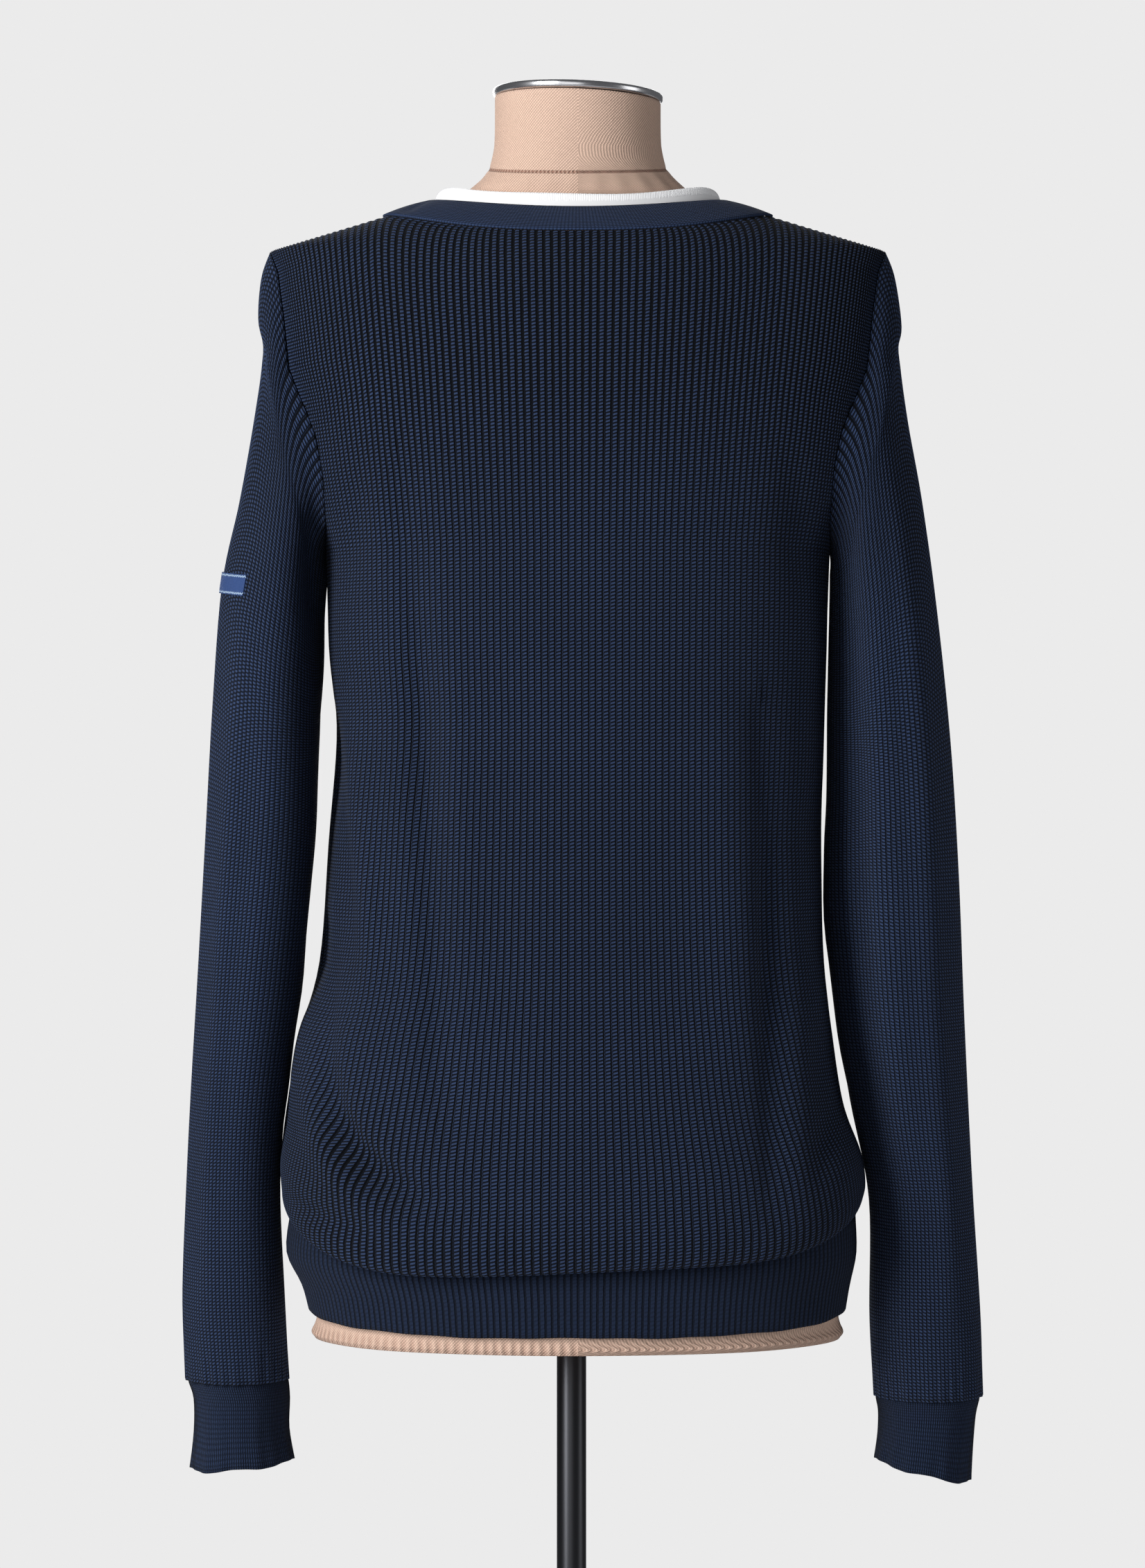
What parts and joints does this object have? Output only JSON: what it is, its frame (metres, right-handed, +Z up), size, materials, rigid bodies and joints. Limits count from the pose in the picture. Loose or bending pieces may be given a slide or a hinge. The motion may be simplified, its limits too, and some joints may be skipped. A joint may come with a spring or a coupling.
{
  "type": "cardigan on a dress form",
  "caption": "Ribbed V-neck cardigan with long sleeves and a button front, hanging on a limbless canvas dress form with a pole and a round base.",
  "frame": {"origin": "centre of the bounding box at floor level, under the dress form", "axes": "+Z up, -Y towards the garment's front, +X towards the wearer's left"},
  "size_m": [0.4863, 0.36, 1.5562],
  "materials": {
    "knit": "matt heavy rib knit",
    "fine_rib": "matt fine rib knit",
    "white_rib": "matt fine rib knit",
    "woven_label": "woven, plain",
    "button": "semi-gloss",
    "canvas": "matt canvas over a hard shell",
    "chrome": "polished",
    "gunmetal": "satin dark grey"
  },
  "bodies": {
    "root": {"back": "knit", "front_left": "knit", "front_right": "knit", "sleeve_left": "knit", "sleeve_right": "knit", "cuff_left": "fine_rib", "cuff_right": "fine_rib", "hem_back": "fine_rib", "hem_front_left": "fine_rib", "hem_front_right": "fine_rib", "band_left": "fine_rib", "band_right": "fine_rib", "neckband": "fine_rib", "neck_trim": "white_rib", "sleeve_label": "woven_label", "button_1": "button", "button_2": "button", "button_3": "button", "button_4": "button", "button_5": "button", "button_6": "button", "form": "canvas", "neck_plate": "chrome", "pole": "gunmetal", "pole_collar": "gunmetal", "base": "gunmetal"}
  },
  "joints": []
}
